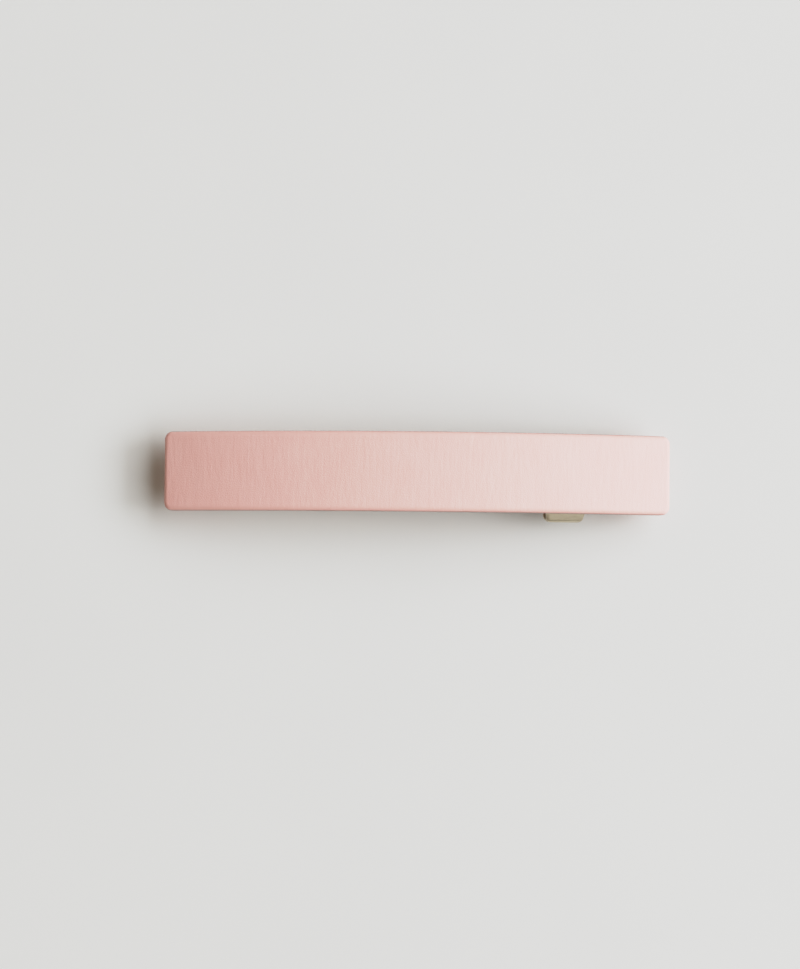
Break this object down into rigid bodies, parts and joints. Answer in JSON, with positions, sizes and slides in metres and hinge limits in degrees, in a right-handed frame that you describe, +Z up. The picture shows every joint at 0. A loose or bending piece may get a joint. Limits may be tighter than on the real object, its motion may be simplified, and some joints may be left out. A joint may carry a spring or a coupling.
{
  "type": "bar hair clip",
  "caption": "Bent leather bar on a sprung metal hair clip: a hinged arm closes over the hair and snaps into a squeeze catch.",
  "frame": {"origin": "middle of the closed clip's outline, on the surface it lies on", "axes": "+X along the bar towards the catch, +Y away from the front edge, +Z up out of the leather"},
  "size_m": [0.0808, 0.014, 0.0129],
  "materials": {
    "leather": "satin",
    "plated_steel": "satin"
  },
  "bodies": {
    "arm": {"arm": "plated_steel"},
    "bar": {"leather_bar": "leather", "base_plate": "plated_steel", "hinge_pin": "plated_steel", "tension_leaf": "plated_steel", "catch": "plated_steel", "catch_rivet_1": "plated_steel", "catch_rivet_2": "plated_steel", "leaf_rivet": "plated_steel"}
  },
  "joints": [
    {"name": "arm_hinge", "type": "hinge", "parent": "arm", "child": "bar", "pos_m": [-0.02817, -0.00017, 0.002], "axis": [0, -1, 0], "range_deg": [0, 75]}
  ]
}
